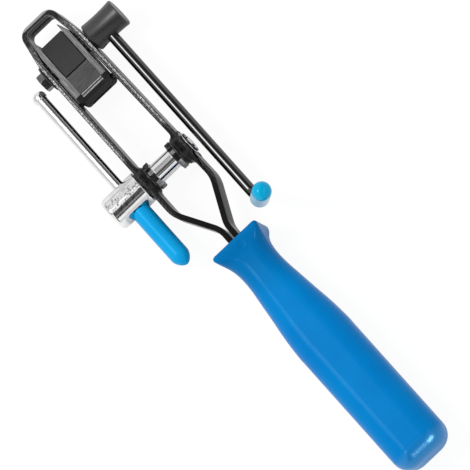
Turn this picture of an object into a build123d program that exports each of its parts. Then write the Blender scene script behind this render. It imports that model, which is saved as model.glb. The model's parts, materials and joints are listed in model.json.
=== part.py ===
from build123d import *
import os
from math import cos, radians, sin, tan

# Ear clamp pliers: a band winder with a cutter, in a U-shaped strip frame on a moulded handle.
# Millimetres. +X runs from the nose to the handle, +Y to the lever's side, +Z to the tool's top.
# The origin is on the winding shaft's axis, midway between the toothed wheels.

# Clearances
press_gap = 0.02
running_gap = 0.05
face_gap = 0.15
side_gap = 0.35
overrun = 1.0

# Strip frame
strip_thickness = 2.7
strip_depth = 11.6
nose_reach = 90.2
nose_axis_y = -0.2
nose_margin = 3.4
nose_radius = 4.1
nose_slot_width = 12.0
nose_slot_height = 2.2
splay_from_cutter = 4.1
splay_radius = 30.0
left_spacer_gap = 0.25
left_boss_height = 1.2
right_boss_height = 2.45
ear_radius = 7.8
left_fork_angle = 29.0
right_fork_angle = 25.3
fork_end_x = 40.8
fork_radius = 14.0
fork_end_radius = 12.0
tang_gap = 0.85
tang_bare_length = 8.4
tang_length = 62.0

# Moulded handle
handle_axis_y = 1.5
handle_length = 132.9
handle_neck_length = 62.4
handle_width = 28.2
handle_height = 22.6
handle_corner_share = 0.85
handle_butt_share = 0.85
handle_front_round = 1.4
# Shares of the neck's length, of the width, of the height and of the corners' radius
handle_neck_shares = [
    (0.0, 0.955, 0.965, 0.36),
    (0.106, 0.8, 0.855, 0.7),
    (0.2, 0.715, 0.79, 1.0),
    (0.285, 0.702, 0.78, 1.0),
    (0.374, 0.73, 0.8, 1.0),
    (0.464, 0.778, 0.84, 1.0),
    (0.553, 0.823, 0.873, 1.0),
    (0.643, 0.872, 0.909, 1.0),
    (0.732, 0.924, 0.946, 1.0),
    (0.821, 0.966, 0.976, 1.0),
    (0.911, 0.993, 0.995, 1.0),
    (1.0, 1.0, 1.0, 1.0),
]

# Winding shaft and toothed wheels
band_space = 10.9
wheel_seat_radius = 4.1
drum_step = 0.7
journal_step = 0.4
shaft_slot_width = 2.0
shaft_slot_land = 0.5
shaft_chamfer = 0.4
wheel_thickness = 2.45
wheel_root_radius = 6.0
tooth_height = 1.15
wheel_teeth = 12
bush_wall = 0.85
bush_flange = 0.85
bush_flange_width = 2.1
boss_lip = 0.6
boss_flank = 2.9

# Right end of the winding shaft
end_washer_radius = 5.5
end_washer_thickness = 0.5
ring_radius = 5.1
ring_thickness = 0.7
ring_groove = 0.5
ring_mouth = 4.4
shaft_end_beyond = 0.4

# Crank hub, outside the left side
hub_washer_radius = 7.0
hub_washer_thickness = 0.4
hub_radius = 8.3
hub_length = 19.4
hub_end_round = 1.8
hub_inner_round = 0.5
hub_socket_wall = 0.9
hub_pin_radius = 1.0
hub_pin_inset = 2.0
bar_from_hub_face = 8.55
bar_mouth = 0.7
grip_seat_depth = 2.4
grip_seat_gap = 0.4

# Crank bar
bar_radius = 2.67
bar_tip_reach = 66.1
button_step = 0.68
button_length = 4.3
button_spigot_radius = 1.6
button_spigot = 2.6
grip_wall = 1.93
grip_length = 34.2
grip_wall_end = 3.6
grip_nose_length = 5.8
grip_mouth_round = 0.8
dome_share = 0.92

# Cutter block
cutter_from_nose = 23.3
block_half_depth = 6.25
jaw_width = 12.2
cheek_thickness = 2.4
cheek_nose = 14.1
cheek_taper = 7.6
cheek_tip = 0.3
barrel_radius = 6.8
jaw_reach = 11.05
jaw_ridge = 3.9
jaw_nose_drop = 0.75
jaw_nose_underside = 0.8
jaw_throat = 4.6
jaw_throat_drop = 4.9
cutting_gap = 0.45
fixed_blade_length = 10.0
fixed_blade_drop = 0.15
blade_key_length = 1.9
blade_key_depth = 8.9
blade_key_chamfer = 0.5
key_gap = 0.1
bridge_length = 3.95
bridge_width = 18.8
bridge_round = 2.0
bridge_notch = 2.0
band_way_width = 10.4
band_way_height = 1.6
band_way_wall = 0.4
rivet_radius = 1.25
rivet_spacing = 4.0
rivet_rise = 2.0
bridge_pin_radius = 1.2
bridge_pin_depth = 2.6
spacer_radius = 4.2
spacer_thickness = 0.8

# Cutter shaft and its left end
cutter_shaft_radius = 3.0
cutter_flat_depth = 0.6
thread_step = 0.5
thread_beyond = 0.15
nut_washer_radius = 6.6
nut_washer_thickness = 0.75
nut_across_flats = 8.0
nut_thickness = 3.4
nut_chamfer = 0.5

# Cutter lever
lever_washer_radius = 5.4
lever_washer_thickness = 0.5
head_radius = 7.15
head_waist = 0.45
head_length = 17.4
head_chamfer = 0.5
head_socket_wall = 0.43
head_pin_radius = 1.0
head_pin_inset = 2.3
rod_radius = 2.6
rod_from_head_face = 7.83
rod_root = 1.6
rod_bend_reach = 108.3
rod_bend_radius = 8.0
leg_lean = 13.0
leg_splay = 12.0
leg_length = 33.0
sleeve_wall = 1.85
sleeve_start = 6.8

# Ratchet lock under the winding shaft
pawl_pivot_x = -5.6
pawl_pivot_z = -9.8
pawl_ear_radius = 3.3
pawl_pin_radius = 1.5
pawl_barrel_wall = 0.65
pawl_tip_angle = -70.0
pawl_tip_lead = 3.6
pawl_tip_rise = 0.45
pawl_tip_depth = 1.5
pawl_tail_back = 1.7
pawl_tail_drop = 2.3
pawl_tail_radius = 0.8
pawl_tail_width = 6.0
spring_length = 1.7
spring_wall = 0.5
spring_wire = 0.25
spring_leg = 3.0
spring_leg_angle = 40.0

# Radii and places worked out from the sizes above
half_strip = strip_thickness / 2
tang_offset = tang_gap / 2 + half_strip
drum_radius = wheel_seat_radius + drum_step
journal_radius = wheel_seat_radius - journal_step
wheel_tip_radius = wheel_root_radius + tooth_height
wheel_outer = band_space / 2 + wheel_thickness
bush_radius = journal_radius + running_gap + bush_wall
bush_flange_radius = bush_radius + bush_flange_width
boss_face = wheel_outer + face_gap + bush_flange
boss_top_radius = bush_flange_radius + boss_lip
boss_foot_radius = boss_top_radius + boss_flank
cutter_x = cutter_from_nose - nose_reach
splay_x = cutter_x - splay_from_cutter
jaw_half = jaw_width / 2
cheek_inner = jaw_half + side_gap
cheek_outer = cheek_inner + cheek_thickness
block_half = cheek_outer + spacer_thickness


def side_inner(side, x):
    """Inside of a side of the frame, measured from the tool's middle: it clears the block and the bosses."""
    spacer_gap, boss_height = (face_gap, right_boss_height) if side > 0 else (left_spacer_gap, left_boss_height)
    at_block = block_half + spacer_gap + side * nose_axis_y
    at_shaft = boss_face + boss_height
    return at_shaft + (at_block - at_shaft) * x / splay_x


def side_outer(side, x):
    return side_inner(side, x) + strip_thickness


def side_rise(side, x, radius):
    """How far a side's outer face comes out under one edge of a washer."""
    return abs(side_outer(side, x + radius) - side_outer(side, x))


left_outer = side_outer(-1, 0)
right_outer = side_outer(1, 0)


def across(y):
    """Sketch plane at a place across the tool: its x is X, its y is Z, and it faces the left side."""
    return Plane.XZ.offset(-y)


def add_disc(radius, y_low, y_high, x=0, z=0, mode=Mode.ADD):
    """Round bar or bore across the tool, between two places on Y."""
    with BuildSketch(across(y_high)) as disc:
        with Locations((x, z)):
            Circle(radius)
    extrude(disc.sketch, amount=y_high - y_low, mode=mode)


def add_block(x_low, x_high, y_low, y_high, z_low, z_high, mode=Mode.ADD):
    """Straight-sided block or cut between its low and high places."""
    with BuildSketch(Plane.XY.offset(z_low)) as block:
        with Locations(((x_low + x_high) / 2, (y_low + y_high) / 2)):
            Rectangle(x_high - x_low, y_high - y_low)
    extrude(block.sketch, amount=z_high - z_low, mode=mode)


def add_washer(radius, bore, y_low, y_high, x=0, z=0):
    """Flat ring across the tool."""
    add_disc(radius, y_low, y_high, x, z)
    add_disc(bore, y_low, y_high, x, z, mode=Mode.SUBTRACT)


def polar(radius, angle):
    return (radius * cos(radians(angle)), radius * sin(radians(angle)))


# Places along the cutter block, from the shaft's barrel to the bridge
barrel_back_x = cutter_x + barrel_radius
fixed_front_x = barrel_back_x + cutting_gap
fixed_back_x = fixed_front_x + fixed_blade_length
key_front_x = fixed_back_x + key_gap
key_back_x = key_front_x + blade_key_length
bridge_front_x = key_back_x - bridge_notch + key_gap
bridge_back_x = bridge_front_x + bridge_length
cheek_tip_x = cutter_x - cheek_nose
rivet_x = (fixed_front_x + fixed_back_x) / 2
rivet_places = [(rivet_x - rivet_spacing / 2, rivet_rise), (rivet_x + rivet_spacing / 2, rivet_rise)]
bridge_pin_x = (bridge_front_x + bridge_back_x) / 2
bridge_pin_inner = bridge_width / 2 - bridge_pin_depth + face_gap
bridge_pin_spans = [(-side_outer(-1, bridge_pin_x), nose_axis_y - bridge_pin_inner),
                    (nose_axis_y + bridge_pin_inner, side_outer(1, bridge_pin_x))]


# Frame: the strip's middle line, from the left tail round the nose to the right tail
def side_point(side, x):
    return (x, side * (side_inner(side, x) + half_strip))


def fork_point(side):
    """Where a side's middle line meets the fork's slope, which runs in to the handle."""
    slope = tan(radians(right_fork_angle if side > 0 else left_fork_angle))
    at_shaft = abs(side_point(side, 0)[1] - handle_axis_y)
    side_slope = (side_inner(side, splay_x) - side_inner(side, 0)) / splay_x
    return side_point(side, (tang_offset + fork_end_x * slope - at_shaft) / (side_slope + slope))


handle_front_x = fork_end_x + tang_bare_length
tang_end_x = handle_front_x + tang_length
nose_line_x = half_strip - nose_reach
nose_half = jaw_half + nose_margin - half_strip
strip_points = [
    (tang_end_x, handle_axis_y - tang_offset),
    (fork_end_x, handle_axis_y - tang_offset),
    fork_point(-1),
    side_point(-1, splay_x),
    (nose_line_x, nose_axis_y - nose_half),
    (nose_line_x, nose_axis_y + nose_half),
    side_point(1, splay_x),
    fork_point(1),
    (fork_end_x, handle_axis_y + tang_offset),
    (tang_end_x, handle_axis_y + tang_offset),
]
strip_radii = [fork_end_radius, fork_radius, splay_radius, nose_radius]


def ear_outline(plane):
    """Round ear at the winding shaft, drawn down to the pawl's pin."""
    with BuildSketch(plane) as outline:
        Circle(ear_radius)
        with Locations((pawl_pivot_x, pawl_pivot_z)):
            Circle(pawl_ear_radius)
        make_hull()
    return outline.sketch


def boss_form(foot_y, top_y):
    """Boss on the inside of a side: a cone with a hollow flank, as wide as the strip and its ear allow."""
    flank_pull = (boss_top_radius, (3 * foot_y + top_y) / 4)
    with BuildPart() as boss:
        with BuildSketch() as profile:
            with BuildLine():
                Bezier((boss_foot_radius, foot_y), flank_pull, (boss_top_radius, top_y))
                Polyline((boss_top_radius, top_y), (0, top_y), (0, foot_y), (boss_foot_radius, foot_y))
            make_face()
        revolve(profile.sketch, axis=Axis.Y)
        with BuildSketch(across(max(foot_y, top_y))) as reach:
            Rectangle(2 * boss_foot_radius, strip_depth)
            add(ear_outline(Plane.XY))
        extrude(reach.sketch, amount=abs(top_y - foot_y), mode=Mode.INTERSECT)
    return boss.part


left_boss = boss_form(-side_inner(-1, 0), -boss_face)
right_boss = boss_form(side_inner(1, 0), boss_face)

with BuildPart() as frame:
    with BuildLine() as strip_line:
        FilletPolyline(*strip_points, radius=strip_radii + strip_radii[::-1])
    with BuildSketch(Plane(origin=strip_points[0], x_dir=(0, 1, 0), z_dir=(-1, 0, 0))):
        Rectangle(strip_thickness, strip_depth)
    sweep()
    for ear_y in (-side_inner(-1, 0), right_outer):
        extrude(ear_outline(across(ear_y)), amount=strip_thickness)
    add(left_boss)
    add(right_boss)
    add_disc(bush_radius, -left_outer - overrun, right_outer + overrun, mode=Mode.SUBTRACT)
    add_disc(pawl_pin_radius + press_gap, -left_outer - overrun, right_outer + overrun,
             pawl_pivot_x, pawl_pivot_z, mode=Mode.SUBTRACT)
    add_disc(cutter_shaft_radius + running_gap, -left_outer - overrun, right_outer + overrun,
             cutter_x, mode=Mode.SUBTRACT)
    add_block(-nose_reach - overrun, -nose_reach + strip_thickness + overrun,
              nose_axis_y - nose_slot_width / 2, nose_axis_y + nose_slot_width / 2,
              -nose_slot_height / 2, nose_slot_height / 2, mode=Mode.SUBTRACT)
    for y_low, y_high in bridge_pin_spans:
        add_disc(bridge_pin_radius + press_gap, y_low - overrun, y_high + overrun, bridge_pin_x,
                 mode=Mode.SUBTRACT)

# Cutter block: cheeks, fixed blade, key and bridge, on the nose's middle line
band_way_drop = cutter_shaft_radius + band_way_wall + band_way_height / 2


def cut_band_way(x_low, x_high):
    """Passage for the band through the cutter block."""
    add_block(x_low - overrun, x_high + overrun,
              nose_axis_y - band_way_width / 2, nose_axis_y + band_way_width / 2,
              -band_way_drop - band_way_height / 2, -band_way_drop + band_way_height / 2,
              mode=Mode.SUBTRACT)


def cheek(side):
    """Side plate: flat inside, its outer face curving in to a point at the nose."""
    taper_end = cheek_tip_x + cheek_taper
    inner, outer = nose_axis_y + side * cheek_inner, nose_axis_y + side * cheek_outer
    tip = nose_axis_y + side * (cheek_inner + cheek_tip)
    bow = ((cheek_tip_x + taper_end) / 2, (tip + outer) / 2 + side * cheek_thickness / 5)
    with BuildPart() as plate:
        with BuildSketch(Plane.XY.offset(-block_half_depth)) as plan:
            with BuildLine():
                Polyline((cheek_tip_x, tip), (cheek_tip_x, inner), (bridge_front_x, inner),
                         (bridge_front_x, outer), (taper_end, outer))
                ThreePointArc((taper_end, outer), bow, (cheek_tip_x, tip))
            make_face()
        extrude(plan.sketch, amount=2 * block_half_depth)
        y_low, y_high = min(inner, outer) - overrun, max(inner, outer) + overrun
        add_disc(cutter_shaft_radius + running_gap, y_low, y_high, cutter_x, mode=Mode.SUBTRACT)
        for x, z in rivet_places:
            add_disc(rivet_radius + press_gap, y_low, y_high, x, z, mode=Mode.SUBTRACT)
    return plate


cheek_left = cheek(-1)
cheek_right = cheek(1)

with BuildPart() as fixed_blade:
    add_block(fixed_front_x, fixed_back_x, nose_axis_y - cheek_inner + press_gap,
              nose_axis_y + cheek_inner - press_gap, -block_half_depth, block_half_depth - fixed_blade_drop)
    cut_band_way(fixed_front_x, fixed_back_x)
    for x, z in rivet_places:
        add_disc(rivet_radius + press_gap, -left_outer, right_outer, x, z, mode=Mode.SUBTRACT)

with BuildPart() as blade_key:
    add_block(key_front_x, key_back_x, nose_axis_y - jaw_half, nose_axis_y + jaw_half,
              block_half_depth - blade_key_depth, block_half_depth)
    chamfer(blade_key.faces().sort_by(Axis.Z)[-1].edges().filter_by(Axis.Y), blade_key_chamfer)

with BuildPart() as bridge_block:
    with BuildSketch(Plane.XY.offset(-block_half_depth)):
        with Locations(((bridge_front_x + bridge_back_x) / 2, nose_axis_y)):
            Rectangle(bridge_length, bridge_width)
    extrude(amount=2 * block_half_depth)
    fillet(bridge_block.faces().sort_by(Axis.X)[-1].edges().filter_by(Axis.Z), bridge_round)
    notch_half = jaw_half + press_gap
    add_block(bridge_front_x - overrun, bridge_front_x + bridge_notch, nose_axis_y - notch_half,
              nose_axis_y + notch_half, block_half_depth - blade_key_depth - press_gap,
              block_half_depth + overrun, mode=Mode.SUBTRACT)
    cut_band_way(bridge_front_x, bridge_back_x)
    for y_low, y_high in bridge_pin_spans:
        y_low, y_high = (y_low, y_high + face_gap) if y_high < 0 else (y_low - face_gap, y_high)
        add_disc(bridge_pin_radius + press_gap, y_low, y_high, bridge_pin_x, mode=Mode.SUBTRACT)

with BuildPart() as bridge_pins:
    for y_low, y_high in bridge_pin_spans:
        add_disc(bridge_pin_radius, y_low, y_high, bridge_pin_x)

with BuildPart() as cheek_rivets:
    for x, z in rivet_places:
        add_disc(rivet_radius, nose_axis_y - cheek_outer, nose_axis_y + cheek_outer, x, z)

with BuildPart() as spacer_washers:
    add_washer(spacer_radius, cutter_shaft_radius + running_gap,
               nose_axis_y - cheek_outer - spacer_thickness, nose_axis_y - cheek_outer, cutter_x)
    add_washer(spacer_radius, cutter_shaft_radius + running_gap,
               nose_axis_y + cheek_outer, nose_axis_y + cheek_outer + spacer_thickness, cutter_x)

thread_radius = cutter_shaft_radius - thread_step
cutter_flat = cutter_shaft_radius - cutter_flat_depth

# Cutter jaw: a barrel on the shaft with an arm to the nose, and the band's passage under the shaft
with BuildPart() as cutter_jaw:
    with BuildSketch(across(nose_axis_y + jaw_half)):
        with Locations((cutter_x, 0)):
            Circle(barrel_radius)
        with BuildLine():
            Polyline(
                (cutter_x, 0),
                (cutter_x - jaw_throat, -jaw_throat_drop),
                (cutter_x - jaw_reach, -jaw_nose_underside),
                (cutter_x - jaw_reach, block_half_depth - jaw_nose_drop),
                (cutter_x - jaw_ridge, block_half_depth),
                (barrel_back_x, block_half_depth),
                (barrel_back_x, 0),
                close=True,
            )
        make_face()
        with Locations((cutter_x, block_half_depth + barrel_radius / 2)):
            Rectangle(4 * barrel_radius, barrel_radius, mode=Mode.SUBTRACT)
    extrude(amount=jaw_width)
    cut_band_way(cutter_x - jaw_reach, barrel_back_x)
    with BuildSketch(across(nose_axis_y + jaw_half)) as drive:
        with Locations((cutter_x, 0)):
            Circle(cutter_shaft_radius + press_gap)
            Rectangle(2 * (cutter_flat + press_gap), 4 * cutter_shaft_radius, mode=Mode.INTERSECT)
    extrude(drive.sketch, amount=jaw_width, mode=Mode.SUBTRACT)

# Cutter shaft, from the thread at the left to the head's socket
lever_washer_y = side_outer(1, cutter_x) + side_rise(1, cutter_x, lever_washer_radius) + running_gap
head_y = lever_washer_y + lever_washer_thickness + face_gap
rod_axis_y = head_y + rod_from_head_face
head_socket = rod_from_head_face - rod_radius - head_socket_wall
nut_washer_y = -side_outer(-1, cutter_x) - side_rise(-1, cutter_x, nut_washer_radius) - face_gap
nut_y = nut_washer_y - nut_washer_thickness
with BuildPart() as cutter_shaft:
    add_disc(cutter_shaft_radius, nut_y, head_y + head_socket, cutter_x)
    add_disc(thread_radius, nut_y - nut_thickness - thread_beyond, nut_y, cutter_x)
    for side in (-1, 1):
        flat_ends = sorted((cutter_x + side * cutter_flat, cutter_x + side * 2 * cutter_shaft_radius))
        add_block(*flat_ends, nose_axis_y - jaw_half, nose_axis_y + jaw_half,
                  -cutter_shaft_radius, cutter_shaft_radius, mode=Mode.SUBTRACT)
    chamfer(cutter_shaft.faces().sort_by(Axis.Y)[0].edges(), thread_beyond)
    with BuildSketch(Plane.YZ.offset(cutter_x - head_radius)) as pin_hole:
        with Locations((head_y + head_pin_inset, 0)):
            Circle(head_pin_radius + press_gap)
    extrude(pin_hole.sketch, amount=2 * head_radius, mode=Mode.SUBTRACT)

with BuildPart() as nut_washer:
    add_washer(nut_washer_radius, cutter_shaft_radius + press_gap, nut_y, nut_washer_y, cutter_x)

nut_corner = nut_across_flats / 2 / cos(radians(30))
with BuildPart() as cutter_nut:
    with BuildSketch(across(nut_y)):
        with Locations((cutter_x, 0)):
            RegularPolygon(nut_across_flats / 2, 6, major_radius=False, rotation=30)
            Circle(thread_radius + press_gap, mode=Mode.SUBTRACT)
    extrude(amount=nut_thickness)
    with BuildSketch() as nut_round:
        with Locations((cutter_x, nut_y - nut_thickness / 2)):
            Rectangle(2 * nut_corner, nut_thickness)
        chamfer(nut_round.vertices(), nut_chamfer)
        with Locations((cutter_x - nut_corner, nut_y - nut_thickness / 2)):
            Rectangle(2 * nut_corner, nut_thickness, mode=Mode.SUBTRACT)
    revolve(nut_round.sketch, axis=Axis((cutter_x, 0, 0), (0, 1, 0)), mode=Mode.INTERSECT)

with BuildPart() as lever_washer:
    add_washer(lever_washer_radius, cutter_shaft_radius + press_gap, lever_washer_y,
               lever_washer_y + lever_washer_thickness, cutter_x)

# Lever head: a waisted cylinder across the tool, bored for the shaft, the pin and the rod
with BuildPart() as lever_head:
    with BuildSketch() as head_profile:
        with BuildLine():
            ThreePointArc((cutter_x + head_radius, head_y),
                          (cutter_x + head_radius - head_waist, head_y + head_length / 2),
                          (cutter_x + head_radius, head_y + head_length))
            Polyline((cutter_x + head_radius, head_y + head_length), (cutter_x, head_y + head_length),
                     (cutter_x, head_y), (cutter_x + head_radius, head_y))
        make_face()
    revolve(axis=Axis((cutter_x, 0, 0), (0, 1, 0)))
    chamfer(lever_head.edges().filter_by(GeomType.CIRCLE), head_chamfer)
    add_disc(cutter_shaft_radius + press_gap, head_y - overrun, head_y + head_socket + press_gap,
             cutter_x, mode=Mode.SUBTRACT)
    with BuildSketch(Plane.YZ.offset(cutter_x - head_radius)) as head_pin_hole:
        with Locations((head_y + head_pin_inset, 0)):
            Circle(head_pin_radius + press_gap)
    extrude(head_pin_hole.sketch, amount=2 * head_radius, mode=Mode.SUBTRACT)
    with BuildSketch(Plane.YZ.offset(cutter_x + rod_root)) as rod_hole:
        with Locations((rod_axis_y, 0)):
            Circle(rod_radius + press_gap)
    extrude(rod_hole.sketch, amount=head_radius, mode=Mode.SUBTRACT)

with BuildPart() as head_pin:
    with BuildSketch(Plane.YZ.offset(cutter_x - head_radius + head_chamfer)):
        with Locations((head_y + head_pin_inset, 0)):
            Circle(head_pin_radius)
    extrude(amount=2 * (head_radius - head_chamfer))

# Lever rod: straight beside the frame, then bent up, leaning back and outwards
leg_up = Vector(0, sin(radians(leg_splay)), cos(radians(leg_splay)))
lever_plane = Plane(origin=(cutter_x, rod_axis_y, 0), x_dir=(1, 0, 0), z_dir=Vector(1, 0, 0).cross(leg_up))
leg_direction = Vector(1, 0, 0) * sin(radians(leg_lean)) + leg_up * cos(radians(leg_lean))
leg_foot = Vector(cutter_x + rod_bend_reach, rod_axis_y, 0)
with BuildPart() as lever_rod:
    with BuildLine(lever_plane):
        FilletPolyline(
            (rod_root + press_gap, 0),
            (rod_bend_reach, 0),
            (rod_bend_reach + leg_length * sin(radians(leg_lean)), leg_length * cos(radians(leg_lean))),
            radius=rod_bend_radius,
        )
    with BuildSketch(Plane(origin=(cutter_x + rod_root + press_gap, rod_axis_y, 0), z_dir=(1, 0, 0))):
        Circle(rod_radius)
    sweep()

sleeve_radius = rod_radius + sleeve_wall
sleeve_dome = sleeve_radius * dome_share
sleeve_length = leg_length + sleeve_dome - sleeve_start
with BuildPart() as lever_grip:
    with BuildSketch(Plane(origin=leg_foot + leg_direction * sleeve_start, z_dir=leg_direction)) as sleeve:
        Circle(sleeve_radius)
    extrude(amount=sleeve_length)
    ends = lever_grip.edges().filter_by(GeomType.CIRCLE).sort_by(Axis.Z)
    fillet(ends[-1], sleeve_dome)
    fillet(lever_grip.edges().filter_by(GeomType.CIRCLE).sort_by(Axis.Z)[0], grip_mouth_round)
    with BuildSketch(sleeve.workplanes[0]) as rod_bore:
        Circle(rod_radius + press_gap)
    extrude(rod_bore.sketch, amount=leg_length - sleeve_start + press_gap, mode=Mode.SUBTRACT)

# Winding shaft: slotted drum between the wheels, journals in the bushes, spigot in the hub
hub_washer_y = -left_outer - side_rise(-1, 0, hub_washer_radius) - face_gap
hub_face = hub_washer_thickness + face_gap - hub_washer_y
hub_socket = bar_from_hub_face - bar_radius - hub_socket_wall
bar_axis_y = -hub_face - bar_from_hub_face
spigot_end = -hub_face - hub_socket
hub_pin_y = -hub_face - hub_pin_inset
end_washer_y = right_outer + side_rise(1, 0, end_washer_radius) + running_gap
ring_y = end_washer_y + end_washer_thickness + face_gap
winding_shaft_end = ring_y + ring_thickness + shaft_end_beyond
with BuildPart() as winding_shaft:
    add_disc(journal_radius, spigot_end, winding_shaft_end)
    add_disc(wheel_seat_radius, -wheel_outer, wheel_outer)
    add_disc(drum_radius, -band_space / 2, band_space / 2)
    for end in (0, -1):
        chamfer(winding_shaft.faces().sort_by(Axis.Y)[end].edges(), shaft_chamfer)
    slot_half = band_space / 2 - shaft_slot_land
    add_block(-shaft_slot_width / 2, shaft_slot_width / 2, -slot_half, slot_half,
              -2 * drum_radius, 2 * drum_radius, mode=Mode.SUBTRACT)
    add_disc(journal_radius, ring_y, ring_y + ring_thickness, mode=Mode.SUBTRACT)
    add_disc(journal_radius - ring_groove, ring_y, ring_y + ring_thickness)
    with BuildSketch(Plane.XY.offset(-journal_radius)) as spigot_hole:
        with Locations((0, hub_pin_y)):
            Circle(hub_pin_radius + press_gap)
    extrude(spigot_hole.sketch, amount=2 * journal_radius, mode=Mode.SUBTRACT)


def toothed_wheel(y_low):
    """Wheel of saw teeth: each tooth has a radial face and a long back."""
    outline = []
    for tooth in range(wheel_teeth):
        angle = pawl_tip_angle + pawl_tip_lead + 360 * tooth / wheel_teeth
        outline += [polar(wheel_root_radius, angle), polar(wheel_tip_radius, angle)]
    with BuildPart() as wheel:
        with BuildSketch(across(y_low + wheel_thickness)) as profile:
            Polygon(*outline, align=None)
            Circle(wheel_seat_radius + press_gap, mode=Mode.SUBTRACT)
        extrude(profile.sketch, amount=wheel_thickness)
    return wheel


ratchet_wheel_left = toothed_wheel(-wheel_outer)
ratchet_wheel_right = toothed_wheel(band_space / 2)


def flanged_bush(side, outer_face):
    """Bush through a side of the frame, its flange towards the wheel."""
    flange_ends = sorted((side * (wheel_outer + face_gap), side * boss_face))
    with BuildPart() as bush:
        add_disc(bush_flange_radius, *flange_ends)
        add_disc(bush_radius - press_gap, *sorted((side * boss_face, side * outer_face)))
        add_disc(journal_radius + running_gap, -left_outer, right_outer, mode=Mode.SUBTRACT)
    return bush


bush_left = flanged_bush(-1, left_outer)
bush_right = flanged_bush(1, right_outer)

with BuildPart() as end_washer:
    add_washer(end_washer_radius, journal_radius + press_gap, end_washer_y,
               end_washer_y + end_washer_thickness)

with BuildPart() as retaining_ring:
    add_washer(ring_radius, journal_radius - ring_groove + press_gap, ring_y, ring_y + ring_thickness)
    add_block(-ring_mouth / 2, ring_mouth / 2, ring_y, ring_y + ring_thickness, -2 * ring_radius, 0,
              mode=Mode.SUBTRACT)

# Hub: round, its outer end rounded, cross-drilled for the bar with a counterbore for the grip
hub_inner_y = -hub_face
hub_outer_y = -hub_face - hub_length
grip_radius = bar_radius + grip_wall
grip_start_x = hub_radius - grip_seat_depth
with BuildPart() as hub:
    add_disc(hub_radius, hub_outer_y, hub_inner_y)
    fillet(hub.faces().sort_by(Axis.Y)[0].edges(), hub_end_round)
    fillet(hub.faces().sort_by(Axis.Y)[-1].edges(), hub_inner_round)
    add_disc(journal_radius + press_gap, spigot_end - press_gap, hub_inner_y, mode=Mode.SUBTRACT)
    with BuildSketch(Plane.YZ.offset(-hub_radius - overrun)) as bar_hole:
        with Locations((bar_axis_y, 0)):
            Circle(bar_radius + running_gap)
    extrude(bar_hole.sketch, amount=2 * (hub_radius + overrun), mode=Mode.SUBTRACT)
    with BuildSketch(Plane.YZ.offset(grip_start_x - face_gap)) as grip_seat:
        with Locations((bar_axis_y, 0)):
            Circle(grip_radius + grip_seat_gap)
    extrude(grip_seat.sketch, amount=hub_radius, mode=Mode.SUBTRACT)
    with BuildSketch() as bar_mouth_cone:
        with BuildLine():
            Polyline(
                (-hub_radius - overrun, bar_axis_y),
                (-hub_radius - overrun, bar_axis_y + bar_radius + bar_mouth + overrun),
                (-hub_radius + bar_mouth, bar_axis_y + bar_radius),
                (-hub_radius + bar_mouth, bar_axis_y),
                close=True,
            )
        make_face()
    revolve(bar_mouth_cone.sketch, axis=Axis((0, bar_axis_y, 0), (1, 0, 0)), mode=Mode.SUBTRACT)
    with BuildSketch(Plane.XY.offset(-hub_radius)) as hub_pin_hole:
        with Locations((0, hub_pin_y)):
            Circle(hub_pin_radius + press_gap)
    extrude(hub_pin_hole.sketch, amount=2 * hub_radius, mode=Mode.SUBTRACT)

with BuildPart() as hub_pin:
    with BuildSketch(Plane.XY.offset(-hub_radius + hub_inner_round)):
        with Locations((0, hub_pin_y)):
            Circle(hub_pin_radius)
    extrude(amount=2 * (hub_radius - hub_inner_round))

with BuildPart() as hub_washer:
    add_washer(hub_washer_radius, journal_radius + press_gap, hub_washer_y - hub_washer_thickness,
               hub_washer_y)

# Crank: bar, domed button at the nose end, sleeve at the handle end
button_radius = bar_radius + button_step
bar_front_x = -bar_tip_reach + button_length
grip_end_x = grip_start_x + grip_length
grip_nose_x = grip_end_x - grip_nose_length
bar_end_x = grip_end_x - grip_wall_end
with BuildPart() as crank_bar:
    with BuildSketch(Plane.YZ.offset(bar_front_x)) as bar_round:
        with Locations((bar_axis_y, 0)):
            Circle(bar_radius)
    extrude(bar_round.sketch, amount=bar_end_x - bar_front_x)
    with BuildSketch(Plane.YZ.offset(bar_front_x - button_spigot)) as spigot_round:
        with Locations((bar_axis_y, 0)):
            Circle(button_spigot_radius)
    extrude(spigot_round.sketch, amount=button_spigot)

with BuildPart() as crank_button:
    with BuildSketch(Plane.YZ.offset(-bar_tip_reach)):
        with Locations((bar_axis_y, 0)):
            Circle(button_radius)
    extrude(amount=button_length)
    fillet(crank_button.faces().sort_by(Axis.X)[0].edges(), button_radius - button_spigot_radius / 2)
    chamfer(crank_button.faces().sort_by(Axis.X)[-1].edges(), (button_radius - bar_radius) / 2)
    with BuildSketch(Plane.YZ.offset(bar_front_x - button_spigot - press_gap)) as button_bore:
        with Locations((bar_axis_y, 0)):
            Circle(button_spigot_radius + press_gap)
    extrude(button_bore.sketch, amount=button_spigot + press_gap, mode=Mode.SUBTRACT)

with BuildPart() as crank_grip:
    with BuildSketch() as grip_profile:
        with BuildLine():
            Polyline((grip_end_x, bar_axis_y), (grip_start_x, bar_axis_y),
                     (grip_start_x, bar_axis_y + grip_radius), (grip_nose_x, bar_axis_y + grip_radius))
            Bezier((grip_nose_x, bar_axis_y + grip_radius),
                   (grip_nose_x + 0.45 * grip_nose_length, bar_axis_y + grip_radius),
                   (grip_end_x, bar_axis_y + 0.42 * grip_radius), (grip_end_x, bar_axis_y))
        make_face()
    revolve(grip_profile.sketch, axis=Axis((0, bar_axis_y, 0), (1, 0, 0)))
    fillet(crank_grip.faces().sort_by(Axis.X)[0].edges(), grip_mouth_round)
    with BuildSketch(Plane.YZ.offset(grip_start_x)) as grip_bore:
        with Locations((bar_axis_y, 0)):
            Circle(bar_radius + press_gap)
    extrude(grip_bore.sketch, amount=bar_end_x - grip_start_x + press_gap, mode=Mode.SUBTRACT)

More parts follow.
